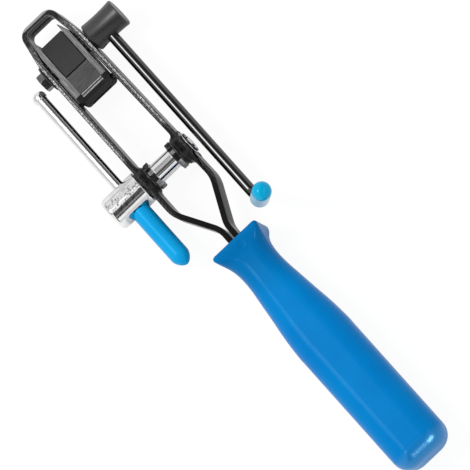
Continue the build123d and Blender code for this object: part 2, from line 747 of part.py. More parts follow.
# Ratchet lock: a barrel on its pin, an arm hooked up to each wheel and a short tail
pawl_barrel_radius = pawl_pin_radius + running_gap + pawl_barrel_wall
pawl_tip_reach = wheel_root_radius + pawl_tip_rise
pawl_tip = Vector(*polar(pawl_tip_reach, pawl_tip_angle))
pawl_heel = Vector(*polar(pawl_tip_reach + pawl_tip_depth, pawl_tip_angle))
pawl_pivot = Vector(pawl_pivot_x, pawl_pivot_z)
pawl_under = pawl_pivot + (pawl_tip - pawl_pivot).normalized().rotate(Axis.Z, -90) * pawl_barrel_radius
pawl_tail = pawl_pivot - Vector(pawl_tail_back, pawl_tail_drop)
with BuildPart() as pawl:
    add_disc(pawl_barrel_radius, -wheel_outer, wheel_outer, pawl_pivot_x, pawl_pivot_z)
    for arm_y in (-band_space / 2, wheel_outer):
        with BuildSketch(across(arm_y)) as arm:
            with BuildLine():
                Polyline(pawl_pivot, pawl_tip, pawl_heel, pawl_under, close=True)
            make_face()
        extrude(arm.sketch, amount=wheel_thickness)
    with BuildSketch(across(pawl_tail_width / 2)) as tail:
        with Locations(pawl_pivot):
            Circle(pawl_barrel_radius)
        with Locations(pawl_tail):
            Circle(pawl_tail_radius)
        make_hull()
    extrude(tail.sketch, amount=pawl_tail_width)
    add_disc(pawl_pin_radius + running_gap, -wheel_outer, wheel_outer, pawl_pivot_x, pawl_pivot_z,
             mode=Mode.SUBTRACT)

with BuildPart() as pawl_pin:
    add_disc(pawl_pin_radius, -left_outer, right_outer, pawl_pivot_x, pawl_pivot_z)

# Torsion spring on the pawl's pin, at the right of the pawl, as a closed coil with two legs
spring_y = wheel_outer + face_gap
spring_inner = pawl_pin_radius + running_gap
with BuildPart() as pawl_spring:
    add_washer(spring_inner + spring_wall, spring_inner, spring_y, spring_y + spring_length,
               pawl_pivot_x, pawl_pivot_z)
    for leg_y, leg_turn in ((spring_y, 0), (spring_y + spring_length - 2 * spring_wire, spring_leg_angle)):
        with BuildSketch(across(leg_y + 2 * spring_wire)) as leg:
            with Locations(Location((pawl_pivot_x, pawl_pivot_z, 0), (0, 0, leg_turn))):
                with Locations((spring_leg / 2, -spring_inner - spring_wall + spring_wire)):
                    Rectangle(spring_leg, 2 * spring_wire)
        extrude(leg.sketch, amount=2 * spring_wire)

# Handle: a neck lofted through rounded sections, then one even section to the butt; hollow for the tails
handle_corner = handle_height / 2 * handle_corner_share
with BuildPart() as handle:
    for along_share, width_share, height_share, corner_share in handle_neck_shares:
        with BuildSketch(Plane.YZ.offset(handle_front_x + handle_neck_length * along_share)):
            with Locations((handle_axis_y, 0)):
                RectangleRounded(handle_width * width_share, handle_height * height_share,
                                 handle_corner * height_share * corner_share)
    loft()
    with BuildSketch(Plane.YZ.offset(handle_front_x + handle_neck_length)) as grip_section:
        with Locations((handle_axis_y, 0)):
            RectangleRounded(handle_width, handle_height, handle_corner)
    extrude(grip_section.sketch, amount=handle_length - handle_neck_length)
    fillet(handle.faces().sort_by(Axis.X)[-1].edges(), handle_corner * handle_butt_share)
    fillet(handle.faces().sort_by(Axis.X)[0].edges(), handle_front_round)
    tang_half = tang_offset + half_strip + running_gap
    add_block(handle_front_x - overrun, tang_end_x + running_gap, handle_axis_y - tang_half,
              handle_axis_y + tang_half, -strip_depth / 2 - running_gap, strip_depth / 2 + running_gap,
              mode=Mode.SUBTRACT)

pieces = {
    "frame": frame,
    "handle": handle,
    "cheek_left": cheek_left,
    "cheek_right": cheek_right,
    "fixed_blade": fixed_blade,
    "blade_key": blade_key,
    "bridge_block": bridge_block,
    "bridge_pins": bridge_pins,
    "cheek_rivets": cheek_rivets,
    "spacer_washers": spacer_washers,
    "cutter_shaft": cutter_shaft,
    "cutter_jaw": cutter_jaw,
    "lever_washer": lever_washer,
    "lever_head": lever_head,
    "head_pin": head_pin,
    "lever_rod": lever_rod,
    "lever_grip": lever_grip,
    "nut_washer": nut_washer,
    "cutter_nut": cutter_nut,
    "winding_shaft": winding_shaft,
    "ratchet_wheel_left": ratchet_wheel_left,
    "ratchet_wheel_right": ratchet_wheel_right,
    "bush_left": bush_left,
    "bush_right": bush_right,
    "end_washer": end_washer,
    "retaining_ring": retaining_ring,
    "hub": hub,
    "hub_pin": hub_pin,
    "hub_washer": hub_washer,
    "crank_bar": crank_bar,
    "crank_button": crank_button,
    "crank_grip": crank_grip,
    "pawl": pawl,
    "pawl_pin": pawl_pin,
    "pawl_spring": pawl_spring,
}
os.makedirs("parts", exist_ok=True)
for name, piece in pieces.items():
    piece.part.label = name
    export_step(piece.part, f"parts/{name}.step")
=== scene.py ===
import json
import math

import bmesh
import bpy
from mathutils import Matrix, Vector


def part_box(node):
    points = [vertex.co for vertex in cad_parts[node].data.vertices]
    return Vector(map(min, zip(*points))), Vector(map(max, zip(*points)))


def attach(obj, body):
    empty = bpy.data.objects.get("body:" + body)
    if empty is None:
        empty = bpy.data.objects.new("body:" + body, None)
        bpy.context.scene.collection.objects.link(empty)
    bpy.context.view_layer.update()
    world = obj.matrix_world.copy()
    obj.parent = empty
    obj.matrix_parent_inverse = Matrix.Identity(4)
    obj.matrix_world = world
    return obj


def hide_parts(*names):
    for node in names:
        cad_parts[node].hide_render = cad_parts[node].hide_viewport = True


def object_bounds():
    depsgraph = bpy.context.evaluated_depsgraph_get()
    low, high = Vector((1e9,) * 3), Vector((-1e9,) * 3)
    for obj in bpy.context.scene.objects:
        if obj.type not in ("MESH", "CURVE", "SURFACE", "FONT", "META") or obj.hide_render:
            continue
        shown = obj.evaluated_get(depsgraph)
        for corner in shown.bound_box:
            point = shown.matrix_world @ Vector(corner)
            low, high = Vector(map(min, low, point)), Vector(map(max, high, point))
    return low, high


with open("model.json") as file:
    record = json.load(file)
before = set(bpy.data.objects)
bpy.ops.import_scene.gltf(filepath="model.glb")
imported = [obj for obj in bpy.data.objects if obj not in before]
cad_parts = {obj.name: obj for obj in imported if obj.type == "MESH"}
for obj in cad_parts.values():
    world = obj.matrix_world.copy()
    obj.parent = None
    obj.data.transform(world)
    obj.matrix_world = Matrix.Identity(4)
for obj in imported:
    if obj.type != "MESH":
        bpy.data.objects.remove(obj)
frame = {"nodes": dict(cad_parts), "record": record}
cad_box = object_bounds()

MM = 0.001


# Small helpers

def tint(red, green, blue):
    """A colour given as it looks on a screen, 0 to 255, as a material needs it."""
    def straight(value):
        value /= 255
        return value / 12.92 if value <= 0.04045 else ((value + 0.055) / 1.055) ** 2.4
    return (straight(red), straight(green), straight(blue), 1.0)


def grey(value):
    return tint(value, value, value)


def add_object(name, data):
    made = bpy.data.objects.new(name, data)
    bpy.context.scene.collection.objects.link(made)
    return made


def empty_tree(owner):
    """The cleared node tree of a material or a world."""
    owner.use_nodes = True
    owner.node_tree.nodes.clear()
    return owner.node_tree


def feed(tree, socket, value):
    """Links another node's output to the socket, or sets any other value on it."""
    if isinstance(value, bpy.types.NodeSocket):
        tree.links.new(value, socket)
    else:
        socket.default_value = value


def put(tree, kind, sockets=None, **settings):
    """Adds a node with its settings, and feeds its sockets."""
    made = tree.nodes.new(kind)
    for key, value in settings.items():
        setattr(made, key, value)
    for key, value in (sockets or {}).items():
        feed(tree, made.inputs[key], value)
    return made


def sum_of(tree, operation, first, second=0.0, third=None, clamp=False):
    """The result of one arithmetic operation."""
    sockets = {0: first, 1: second}
    if third is not None:
        sockets[2] = third
    return put(tree, "ShaderNodeMath", sockets, operation=operation, use_clamp=clamp).outputs[0]


def ramp_of(tree, value, low, high, start=0.0, end=1.0, smooth=True):
    """A value that goes from start to end while the given one goes from low to high."""
    return put(tree, "ShaderNodeMapRange",
               {"Value": value, "From Min": low, "From Max": high, "To Min": start, "To Max": end},
               interpolation_type="SMOOTHSTEP" if smooth else "LINEAR").outputs["Result"]


def blend_of(tree, factor, first, second):
    mixed = put(tree, "ShaderNodeMix", data_type="RGBA")
    for number, value in ((0, factor), (6, first), (7, second)):
        feed(tree, mixed.inputs[number], value)
    return mixed.outputs[2]


def parts_of(tree, vector):
    return put(tree, "ShaderNodeSeparateXYZ", {0: vector}).outputs


def noise_of(tree, place, scale, detail, roughness, distortion=0.0):
    return put(tree, "ShaderNodeTexNoise", {"Vector": place, "Scale": scale, "Detail": detail,
                                            "Roughness": roughness, "Distortion": distortion}).outputs[0]


def pulled(tree, place, pull):
    """A place stretched by its own factor along each axis."""
    return put(tree, "ShaderNodeVectorMath", {0: place, 1: pull}, operation="MULTIPLY").outputs[0]


def start_group(name, inputs, outputs):
    tree = bpy.data.node_groups.new(name, "ShaderNodeTree")
    for label, kind, value in inputs:
        socket = tree.interface.new_socket(name=label, in_out="INPUT", socket_type="NodeSocket" + kind)
        if kind != "Vector":
            socket.default_value = value
    for label, kind in outputs:
        tree.interface.new_socket(name=label, in_out="OUTPUT", socket_type="NodeSocket" + kind)
    return tree, tree.nodes.new("NodeGroupInput").outputs, tree.nodes.new("NodeGroupOutput").inputs


def use_group(tree, group, sockets):
    made = tree.nodes.new("ShaderNodeGroup")
    made.node_tree = group
    for key, value in sockets.items():
        feed(tree, made.inputs[key], value)
    return made.outputs


# Shared effects

# Where the noise of the tone's patches, of a machined line and of a break in a light rounded edge begins and is full
PATCH_RANGE = (0.32, 0.68)
LINE_RANGE = (0.42, 0.60)
BREAK_RANGE = (0.62, 0.38)
# How much a face has to lean both up and sideways to count as a rounded edge
EDGE_RANGE = (0.06, 0.22)
# Noise at which specks and pits begin with no amount, what a full amount takes off it, and the width of their edge
SPECK_START = (0.76, 0.26, 0.09)
PIT_START = (0.70, 0.20, 0.05)


def spots_of(tree, noise, amount, start):
    """A mask of spots where the noise is high, more of them the larger the amount."""
    none, full, width = start
    low = sum_of(tree, "SUBTRACT", none, sum_of(tree, "MULTIPLY", amount, full))
    return ramp_of(tree, noise, low, sum_of(tree, "ADD", low, width))


def make_uneven_tone():
    """Two tones of one colour in soft patches."""
    tree, given, out = start_group(
        "uneven_tone",
        [("Place", "Vector", None), ("Dark", "Color", (0, 0, 0, 1)), ("Light", "Color", (1, 1, 1, 1)),
         ("Patch Scale", "Float", 60.0)],
        [("Colour", "Color")])
    patch = ramp_of(tree, noise_of(tree, given["Place"], given["Patch Scale"], 4.0, 0.6), *PATCH_RANGE)
    tree.links.new(blend_of(tree, patch, given["Dark"], given["Light"]), out["Colour"])
    return tree


def make_wear_and_glint_edge():
    """A mask on rounded edges between faces that look up or down and faces that look sideways, broken by noise: edge
    wear, and where so noted a painted glint or highlight.
    """
    tree, given, out = start_group(
        "wear_and_glint_edge",
        [("Place", "Vector", None), ("Facing", "Vector", None), ("Break Scale", "Float", 900.0),
         ("Break", "Float", 0.5), ("Amount", "Float", 1.0)],
        [("Mask", "Float")])
    up = parts_of(tree, given["Facing"])[2]
    square = sum_of(tree, "MULTIPLY", up, up)
    round_share = sum_of(tree, "MULTIPLY", square, sum_of(tree, "SUBTRACT", 1.0, square))
    edge = ramp_of(tree, round_share, *EDGE_RANGE)
    noise = noise_of(tree, given["Place"], given["Break Scale"], 3.0, 0.65)
    gone = sum_of(tree, "MULTIPLY", ramp_of(tree, noise, *BREAK_RANGE), given["Break"])
    left = sum_of(tree, "MULTIPLY", edge, sum_of(tree, "SUBTRACT", 1.0, gone))
    tree.links.new(sum_of(tree, "MULTIPLY", left, given["Amount"], clamp=True), out["Mask"])
    return tree


def make_fine_grain():
    """Fine even grain of paint or a moulded skin, as a height and a shift for roughness."""
    tree, given, out = start_group(
        "fine_grain",
        [("Place", "Vector", None), ("Grain Scale", "Float", 1500.0), ("Ripple Scale", "Float", 250.0),
         ("Ripple Share", "Float", 0.4)],
        [("Height", "Float"), ("Rough Shift", "Float")])
    fine = noise_of(tree, given["Place"], given["Grain Scale"], 2.0, 0.5)
    ripple = noise_of(tree, given["Place"], given["Ripple Scale"], 2.0, 0.5)
    both = sum_of(tree, "MULTIPLY_ADD", ripple, given["Ripple Share"], fine)
    tree.links.new(both, out["Height"])
    tree.links.new(sum_of(tree, "SUBTRACT", fine, 0.5), out["Rough Shift"])
    return tree


def make_drawn_specks():
    """Bright specks drawn out along the strip where its paint broke, in rows with black between them."""
    tree, given, out = start_group(
        "drawn_specks",
        [("Place", "Vector", None), ("Pull", "Vector", None), ("Amount", "Float", 0.5)],
        [("Mask", "Float"), ("Height", "Float")])
    speck = noise_of(tree, pulled(tree, given["Place"], given["Pull"]), 1.0, 3.0, 0.72)
    tree.links.new(spots_of(tree, speck, given["Amount"], SPECK_START), out["Mask"])
    tree.links.new(speck, out["Height"])
    return tree


def make_machine_lines():
    """Fine straight or turned lines: a noise stretched along the axes of its place."""
    tree, given, out = start_group(
        "machine_lines",
        [("Place", "Vector", None), ("Stretch", "Vector", None)],
        [("Height", "Float"), ("Line", "Float")])
    fine = noise_of(tree, pulled(tree, given["Place"], given["Stretch"]), 1.0, 4.0, 0.65)
    tree.links.new(fine, out["Height"])
    tree.links.new(ramp_of(tree, fine, *LINE_RANGE), out["Line"])
    return tree


def make_small_pits():
    """Small dark pits and scratches of used plating, in drifts."""
    tree, given, out = start_group(
        "small_pits",
        [("Place", "Vector", None), ("Pit Scale", "Float", 1400.0), ("Amount", "Float", 0.5)],
        [("Mask", "Float")])
    pit = noise_of(tree, given["Place"], given["Pit Scale"], 3.0, 0.75, 0.6)
    tree.links.new(spots_of(tree, pit, given["Amount"], PIT_START), out["Mask"])
    return tree


uneven_tone = make_uneven_tone()
wear_and_glint_edge = make_wear_and_glint_edge()
fine_grain = make_fine_grain()
drawn_specks = make_drawn_specks()
machine_lines = make_machine_lines()
small_pits = make_small_pits()


# Finishes

def start_finish(name):
    """A new material, its tree, its shader and the outputs that say where a point is and how it faces."""
    made = bpy.data.materials.new(name)
    tree = empty_tree(made)
    shader = put(tree, "ShaderNodeBsdfPrincipled")
    put(tree, "ShaderNodeOutputMaterial", {"Surface": shader.outputs[0]})
    return made, tree, shader, put(tree, "ShaderNodeTexCoord").outputs


def tone_of(tree, place, dark, light, patch):
    return use_group(tree, uneven_tone, {"Place": place, "Dark": dark, "Light": light, "Patch Scale": patch})["Colour"]


def set_bump(tree, shader, height, depth):
    bump = put(tree, "ShaderNodeBump", {"Height": height, "Distance": depth, "Strength": 1.0})
    tree.links.new(bump.outputs[0], shader.inputs["Normal"])


# The strip's paint: places along the tool, measures across a side of the frame, shares and tones, among them those of
# its painted highlights
NOSE_FROM = -0.0795
NOSE_FULL = -0.0835
# Where along the tool the painted highlight on the nose's rounded outer edge begins and is full
NOSE_HIGHLIGHT_FROM = -0.0886
NOSE_HIGHLIGHT_FULL = -0.0893
STRIP_THICKNESS = 2.7 * MM
ARM_INSIDE = 10.1 * MM
RIGHT_ARM_FURTHER = 1.25 * MM
RIGHT_ARM_SPLAY = 0.0247
SPLAY_AT = -0.071
SPLAY_FADE = 2.0 * MM
SPECKS_END = -0.0105
SPECKS_FULL = -0.0175
SPECKS_BEHIND = 0.12
SPECKS_OFF_AT_NOSE = 0.8
SPECK_PULL = (900.0, 2600.0, 2400.0)
# Even lightening over the rows of specks: partly fine specks, partly a painted highlight
SPECK_HAZE_AND_HIGHLIGHT = 0.2
# The outer row near the strip's outer edge is brighter, partly as a painted highlight of that rounded edge
OUTER_ROW = ((0.42, 0.58), (0.95, 0.84))
INNER_ROW = ((0.10, 0.20), (0.42, 0.32))
INNER_ROW_SHARE = 0.3
SPLAY_SPECKS = 0.3
PAINT_PATCH = 160.0
PAINT_TONES = (5, 15)
SPECK_TONE = 222
# Grey of the painted highlight on the nose's outer edge
NOSE_HIGHLIGHT_TONE = 158
RIM_TONE = 188
RIM_BREAK = 0.35
RIM_SHARE = 0.06
# Extra share of the light rim at the nose: a painted highlight on its rounded edges, on top of the edge wear
RIM_HIGHLIGHT_AT_NOSE = 0.4
TOP_FACING = (0.80, 0.97)
ROUGH_FACING = (0.25, 0.85)
PAINT_ROUGH_SIDE = 0.13
PAINT_ROUGH_TOP = 0.42
PAINT_IOR = 1.16
PAINT_DEPTH = 0.03 * MM


def arm_share(tree, place):
    """Where a point is across a side of the frame: 0 on its inner face and 1 on its outer face."""
    along, across, _ = parts_of(tree, place)
    right = sum_of(tree, "GREATER_THAN", across, 0.0)
    further = sum_of(tree, "MULTIPLY_ADD", along, RIGHT_ARM_SPLAY, RIGHT_ARM_FURTHER)
    inside = sum_of(tree, "MULTIPLY_ADD", right, further, ARM_INSIDE)
    depth = sum_of(tree, "SUBTRACT", sum_of(tree, "ABSOLUTE", across), inside)
    return sum_of(tree, "DIVIDE", depth, STRIP_THICKNESS)


def row_of(tree, share, rise, fall):
    """A row of specks between where it rises and where it falls across a side of the frame."""
    return sum_of(tree, "MULTIPLY", ramp_of(tree, share, *rise), ramp_of(tree, share, *fall))


def strip_paint():
    """The frame's black paint: broken in drawn-out specks on the sheared top, glossy on the strip's flat sides, with a
    painted highlight on the nose's outer edge, on the nose's rounded rims and along the outer row of specks.
    """
    made, tree, shader, spot = start_finish("strip_paint")
    place, facing = spot["Object"], spot["Normal"]
    along = parts_of(tree, place)[0]
    up = sum_of(tree, "ABSOLUTE", parts_of(tree, facing)[2])
    flat = ramp_of(tree, up, *TOP_FACING)
    at_nose = ramp_of(tree, along, NOSE_FROM, NOSE_FULL)
    worn_half = ramp_of(tree, along, SPECKS_END, SPECKS_FULL, SPECKS_BEHIND, 1.0)
    share = arm_share(tree, place)
    outer_row = row_of(tree, share, *OUTER_ROW)
    inner_row = row_of(tree, share, *INNER_ROW)
    rows = sum_of(tree, "MULTIPLY_ADD", inner_row, INNER_ROW_SHARE, outer_row)
    splayed = ramp_of(tree, along, SPLAY_AT, SPLAY_AT - SPLAY_FADE, 0.0, SPLAY_SPECKS)
    rows = sum_of(tree, "MAXIMUM", rows, splayed)
    amount = sum_of(tree, "MULTIPLY", worn_half, sum_of(tree, "MULTIPLY_ADD", at_nose, -SPECKS_OFF_AT_NOSE, 1.0))
    worn_row = sum_of(tree, "MULTIPLY", rows, amount)
    chip = use_group(tree, drawn_specks, {"Place": place, "Pull": SPECK_PULL, "Amount": 1.0})
    # Specks in their rows, with an even painted highlight laid over the rows
    specks = sum_of(tree, "MULTIPLY_ADD", chip["Mask"], 1.0 - SPECK_HAZE_AND_HIGHLIGHT, SPECK_HAZE_AND_HIGHLIGHT)
    specks = sum_of(tree, "MULTIPLY", sum_of(tree, "MULTIPLY", specks, worn_row), flat)
    colour = tone_of(tree, place, *map(grey, PAINT_TONES), PAINT_PATCH)
    colour = blend_of(tree, specks, colour, grey(SPECK_TONE))
    # Painted highlight: the nose's outer edge is turned light grey where its rounded edge catches light
    colour = blend_of(tree, ramp_of(tree, along, NOSE_HIGHLIGHT_FROM, NOSE_HIGHLIGHT_FULL), colour, grey(NOSE_HIGHLIGHT_TONE))
    # Light rim on rounded edges: edge wear, and at the nose a painted highlight as well
    rim = use_group(tree, wear_and_glint_edge, {"Place": place, "Facing": facing, "Break": RIM_BREAK,
                                      "Amount": sum_of(tree, "MULTIPLY_ADD", at_nose, RIM_HIGHLIGHT_AT_NOSE, RIM_SHARE)})
    colour = blend_of(tree, rim["Mask"], colour, grey(RIM_TONE))
    tree.links.new(colour, shader.inputs["Base Color"])
    tree.links.new(ramp_of(tree, up, *ROUGH_FACING, PAINT_ROUGH_SIDE, PAINT_ROUGH_TOP), shader.inputs["Roughness"])
    shader.inputs["IOR"].default_value = PAINT_IOR
    set_bump(tree, shader, sum_of(tree, "MULTIPLY", chip["Height"], flat), PAINT_DEPTH)
    return made


LINE_DEPTH = 0.01 * MM
GRAIN_IN_ROUGH = 0.25


def black_steel(name, dark, light, rough, wear_and_glint_tone, patch=60.0, edge=0.6, grain=1500.0, depth=0.000012,
                metal=0.0, gloss=0.5, lines=None, line_share=0.35):
    """Black painted or oxidised steel: uneven black, a light tone on its rounded edges, which is edge wear and on the
    dark chrome a painted glint, and, where given, fine machined lines.
    """
    made, tree, shader, spot = start_finish(name)
    place = spot["Object"]
    rim = use_group(tree, wear_and_glint_edge, {"Place": place, "Facing": spot["Normal"], "Amount": edge})
    colour = blend_of(tree, rim["Mask"], tone_of(tree, place, grey(dark), grey(light), patch), grey(wear_and_glint_tone))
    skin = use_group(tree, fine_grain, {"Place": place, "Grain Scale": grain})
    height, fall = skin["Height"], depth
    if lines:
        cut = use_group(tree, machine_lines, {"Place": place, "Stretch": lines})
        colour = blend_of(tree, sum_of(tree, "MULTIPLY", cut["Line"], line_share), colour, grey(wear_and_glint_tone))
        height, fall = cut["Height"], LINE_DEPTH
    tree.links.new(colour, shader.inputs["Base Color"])
    tree.links.new(sum_of(tree, "MULTIPLY_ADD", skin["Rough Shift"], GRAIN_IN_ROUGH, rough),
                   shader.inputs["Roughness"])
    shader.inputs["Metallic"].default_value = metal
    shader.inputs["Specular IOR Level"].default_value = gloss
    set_bump(tree, shader, height, fall)
    return made


# How much a face leans along the tool and up to take the painted highlight of the key's chamfers
KEY_SLOPE = (0.35, 0.60)
KEY_FACING = (0.30, 0.60)
KEY_ROUGH = 0.35


def key_plate():
    """The blade's key: black, with a painted highlight on its two chamfers."""
    made, tree, shader, spot = start_finish("key_plate")
    place = spot["Object"]
    along, _, up = parts_of(tree, spot["Normal"])
    slope = sum_of(tree, "ABSOLUTE", along)
    chamfer_highlight = sum_of(tree, "MULTIPLY", ramp_of(tree, slope, *KEY_SLOPE), ramp_of(tree, up, *KEY_FACING))
    black = tone_of(tree, place, grey(12), grey(30), 300.0)
    bright = tone_of(tree, place, grey(165), grey(225), 700.0)
    # Painted highlight: the chamfers are turned light grey
    tree.links.new(blend_of(tree, chamfer_highlight, black, bright), shader.inputs["Base Color"])
    shader.inputs["Roughness"].default_value = KEY_ROUGH
    return made


PLATING_PATCH = 90.0
LINES_IN_ROUGH = 0.05


def plated_steel(name, dark, light, rough, stretch, line_depth=0.000004, pits=0.0, pit_tint=70, pit_scale=1400.0,
                 band=None):
    """Plating over machined steel, with pits where given; where they are kept to a band of the faces that look up, as
    on the hub, they are a painted mottled reflection.
    """
    made, tree, shader, spot = start_finish(name)
    place = spot["Object"]
    colour = tone_of(tree, place, grey(dark), grey(light), PLATING_PATCH)
    line = use_group(tree, machine_lines, {"Place": place, "Stretch": stretch})
    if pits:
        pit = use_group(tree, small_pits, {"Place": place, "Amount": pits, "Pit Scale": pit_scale})
        mask = pit["Mask"]
        # Pits kept to this band are a painted mottled reflection
        if band:
            mask = sum_of(tree, "MULTIPLY", mask, ramp_of(tree, parts_of(tree, spot["Normal"])[2], *band))
        colour = blend_of(tree, mask, colour, grey(pit_tint))
    tree.links.new(colour, shader.inputs["Base Color"])
    tree.links.new(sum_of(tree, "MULTIPLY_ADD", line["Line"], LINES_IN_ROUGH, rough), shader.inputs["Roughness"])
    shader.inputs["Metallic"].default_value = 1.0
    set_bump(tree, shader, line["Height"], line_depth)
    return made


# The blue plastic, the places along the handle where its painted shade at the front ends and its butt's gloss begins,
# and its sink mark
GLOSS_TINT = (0.3, 0.7, 1.0, 1.0)
VINYL_PATCH = 22.0
VINYL_RIPPLE = 120.0
VINYL_RIPPLE_SHARE = 1.5
GRAIN_IN_VINYL_ROUGH = 0.12
HANDLE_FRONT_SHADE_FADE = (0.060, 0.088)
BUTT_FADE = (0.1740, 0.1785)
BUTT_GLOSS = 1.3
SINK_X = 0.0537
SINK_Y = 0.0030
SINK_RADIUS = 2.3 * MM
SINK_DEPTH = 0.2 * MM


def sink_mark(tree, place):
    """A shallow sink in the handle's top near its front, as a height that is 1 outside the mark."""
    along, across, up = parts_of(tree, place)
    off_x = sum_of(tree, "SUBTRACT", along, SINK_X)
    off_y = sum_of(tree, "SUBTRACT", across, SINK_Y)
    square = sum_of(tree, "MULTIPLY_ADD", off_x, off_x, sum_of(tree, "MULTIPLY", off_y, off_y))
    mark = ramp_of(tree, square, 0.0, SINK_RADIUS ** 2)
    return sum_of(tree, "MAXIMUM", mark, sum_of(tree, "LESS_THAN", up, 0.0))


def moulded_vinyl(name, dark, light, rough, gloss=0.5, depth=0.000006, front=None):
    """Glossy moulded plastic with a faint ripple and an uneven depth of colour. With a tone for its front it is the
    handle, which is darker at its front as painted shade, and has a sink mark at its front and more gloss at its butt."""
    made, tree, shader, spot = start_finish(name)
    place = spot["Object"]
    colour = tone_of(tree, place, tint(*dark), tint(*light), VINYL_PATCH)
    skin = use_group(tree, fine_grain, {"Place": place, "Grain Scale": 900.0, "Ripple Scale": VINYL_RIPPLE,
                                        "Ripple Share": VINYL_RIPPLE_SHARE})
    height = skin["Height"]
    if front:
        along = parts_of(tree, place)[0]
        # Painted shade: the handle is darker towards its front
        colour = blend_of(tree, ramp_of(tree, along, *HANDLE_FRONT_SHADE_FADE), tint(*front), colour)
        height = sum_of(tree, "MULTIPLY_ADD", sink_mark(tree, place), SINK_DEPTH / depth, height)
        gloss = sum_of(tree, "MULTIPLY_ADD", ramp_of(tree, along, *BUTT_FADE), BUTT_GLOSS, gloss)
    tree.links.new(colour, shader.inputs["Base Color"])
    tree.links.new(sum_of(tree, "MULTIPLY_ADD", skin["Rough Shift"], GRAIN_IN_VINYL_ROUGH, rough),
                   shader.inputs["Roughness"])
    feed(tree, shader.inputs["Specular IOR Level"], gloss)
    shader.inputs["Specular Tint"].default_value = GLOSS_TINT
    set_bump(tree, shader, height, depth)
    return made


finish = {
    "frame_black": strip_paint(),
    "cheek_steel": black_steel("cheek_steel", 82, 98, 0.45, 190, edge=0.55, gloss=0.3, lines=(150, 2600, 600)),
    "blade_steel": black_steel("blade_steel", 45, 55, 0.42, 150, edge=0.3, gloss=0.3, lines=(4200, 160, 600),
                               line_share=0.12),
    "key_steel": key_plate(),
    "block_black": black_steel("block_black", 15, 24, 0.55, 60, edge=0.3, gloss=0.12, lines=(1500, 200, 900),
                               line_share=0.2),
    "jaw_black": black_steel("jaw_black", 34, 42, 0.42, 80, edge=0.3, gloss=0.25),
    "head_black": black_steel("head_black", 15, 24, 0.36, 90, edge=0.0, gloss=1.0, depth=0.000008),
    "rod_black": black_steel("rod_black", 5, 12, 0.07, 60, edge=0.0, gloss=1.0, grain=300.0, depth=0.0000003),
    "nut_black": black_steel("nut_black", 110, 140, 0.12, 200, patch=160.0, edge=0.0, metal=1.0, depth=0.000003),
    "dark_steel": black_steel("dark_steel", 12, 28, 0.26, 100, edge=0.3),
    "spring_steel": plated_steel("spring_steel", 90, 130, 0.25, (300, 300, 300)),
    "chrome": plated_steel("chrome", 232, 250, 0.05, (900, 70, 900), line_depth=0.00001, pits=0.35),
    # On the dark chrome of the wheels and rings the light edge tone is a painted glint of their teeth and rims
    "chrome_dark": black_steel("chrome_dark", 12, 36, 0.16, 228, edge=0.6, metal=1.0, depth=0.000003),
    "handle_blue": moulded_vinyl("handle_blue", (0, 118, 192), (0, 127, 200), 0.24, gloss=0.13, front=(0, 110, 176),
                                 depth=0.000004),
    "sleeve_blue": moulded_vinyl("sleeve_blue", (0, 166, 212), (0, 180, 226), 0.14),
    "grip_blue": moulded_vinyl("grip_blue", (2, 146, 210), (14, 160, 222), 0.26, gloss=0.22),
}
# The hub's pits, kept to a narrow band of faces near its top, are a painted mottled reflection
hub_chrome_painted_reflection = plated_steel("hub_chrome_painted_reflection", 226, 250, 0.06, (1500, 500, 900), line_depth=0.000012, pits=0.9,
                          pit_tint=140, pit_scale=620.0, band=(0.86, 0.94))
bar_chrome = plated_steel("bar_chrome", 236, 250, 0.04, (60, 1800, 1800), line_depth=0.0000012)
shaft_chrome = plated_steel("shaft_chrome", 236, 250, 0.05, (1500, 90, 1500), line_depth=0.000003)


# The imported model's own pieces

for name, piece in frame["nodes"].items():
    for slot in piece.material_slots:
        slot.material = finish[slot.material.name.split(".")[0]]


# Pieces that stand for packed ones, with their edges rounded


def finish_of(name):
    return frame["nodes"][name].material_slots[0].material


def body_of(name):
    bodies = frame["record"]["behaviour"]["bodies"]
    return next(body for body, nodes in bodies.items() if name in nodes)


def finish_piece(name, shape, nodes, material, body, smooth_to=40.0):
    """Makes a bmesh a piece that stands for CAD nodes, smooth but for its sharper edges."""
    mesh = bpy.data.meshes.new(name)
    for face in shape.faces:
        face.smooth = True
    shape.to_mesh(mesh)
    shape.free()
    mesh.set_sharp_from_angle(angle=math.radians(smooth_to))
    mesh.materials.append(material)
    piece = add_object(name, mesh)
    even = piece.modifiers.new("even_faces", "WEIGHTED_NORMAL")
    even.keep_sharp = True
    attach(piece, body)
    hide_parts(*nodes)


# The least angle of an edge that is rounded, and of faces that stay apart, in degrees, and how copies are merged
SHARP = 35.0
MERGE_WITHIN = 0.002 * MM
FLAT_WITHIN = 0.6
TURNED_STEPS = 128
TURNED_MERGE = 0.001 * MM


def sharp_edges(shape):
    return [edge for edge in shape.edges
            if len(edge.link_faces) == 2 and edge.calc_face_angle(0.0) > math.radians(SHARP)]


def round_edges(shape, edges, width, segments=2):
    bmesh.ops.bevel(shape, geom=edges, offset=width, offset_type="OFFSET", segments=segments, profile=0.5,
                    affect="EDGES", material=-1, clamp_overlap=False)


def copy_of(name):
    """A merged copy of a CAD node's mesh, with its flat faces in one."""
    shape = bmesh.new()
    shape.from_mesh(frame["nodes"][name].data)
    bmesh.ops.remove_doubles(shape, verts=shape.verts, dist=MERGE_WITHIN)
    bmesh.ops.dissolve_limit(shape, angle_limit=math.radians(FLAT_WITHIN), verts=shape.verts, edges=shape.edges)
    return shape


